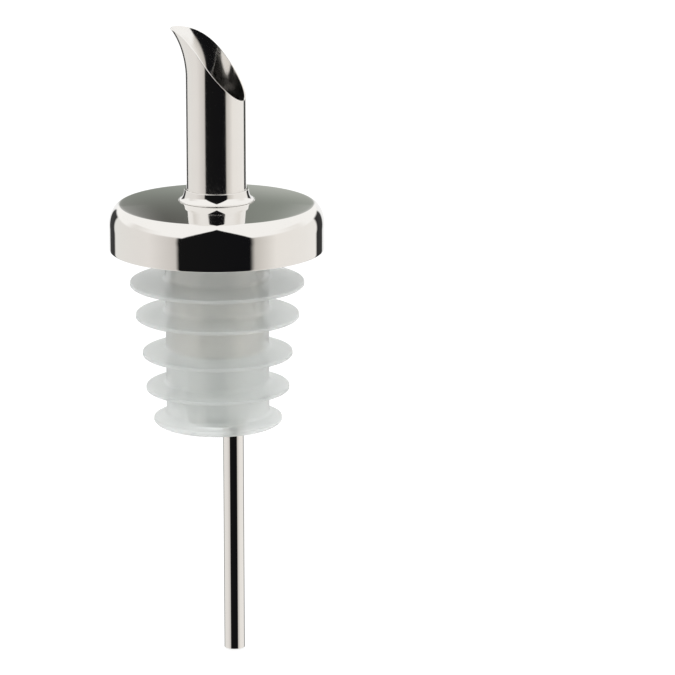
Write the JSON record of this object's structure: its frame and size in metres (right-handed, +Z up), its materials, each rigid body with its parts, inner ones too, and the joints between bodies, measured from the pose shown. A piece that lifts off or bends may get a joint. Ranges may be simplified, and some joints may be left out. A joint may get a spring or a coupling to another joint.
{
  "type": "liquor pour spout",
  "caption": "Bar pourer: slant-cut metal spout with a turned-out drip lip, wide pressed cap, finned translucent stopper that pushes into a bottle neck, and a thin air tube.",
  "frame": {"origin": "centre of the bottle's mouth: on the stopper's axis, at the underside of its flange, where the bottle's lip meets it", "axes": "+Z up along the spout, out of the bottle; the drip lip points to -X and the air tube lies on the +X side"},
  "size_m": [0.036, 0.036, 0.107],
  "materials": {
    "polished_steel": "mirror polished",
    "drawn_steel": "bright, as drawn",
    "milky_plastic": "translucent, milky, as moulded"
  },
  "bodies": {
    "stopper_body": {"stopper": "milky_plastic"},
    "metal_head": {"spout_tube": "polished_steel", "spout_collar": "polished_steel", "cap_shell": "polished_steel", "shank_sleeve": "drawn_steel", "air_tube": "polished_steel"}
  },
  "joints": [
    {"name": "head_pull", "type": "slide", "parent": "stopper_body", "child": "metal_head", "axis": [0, 0, 1], "range_m": [0, 0.08]}
  ]
}
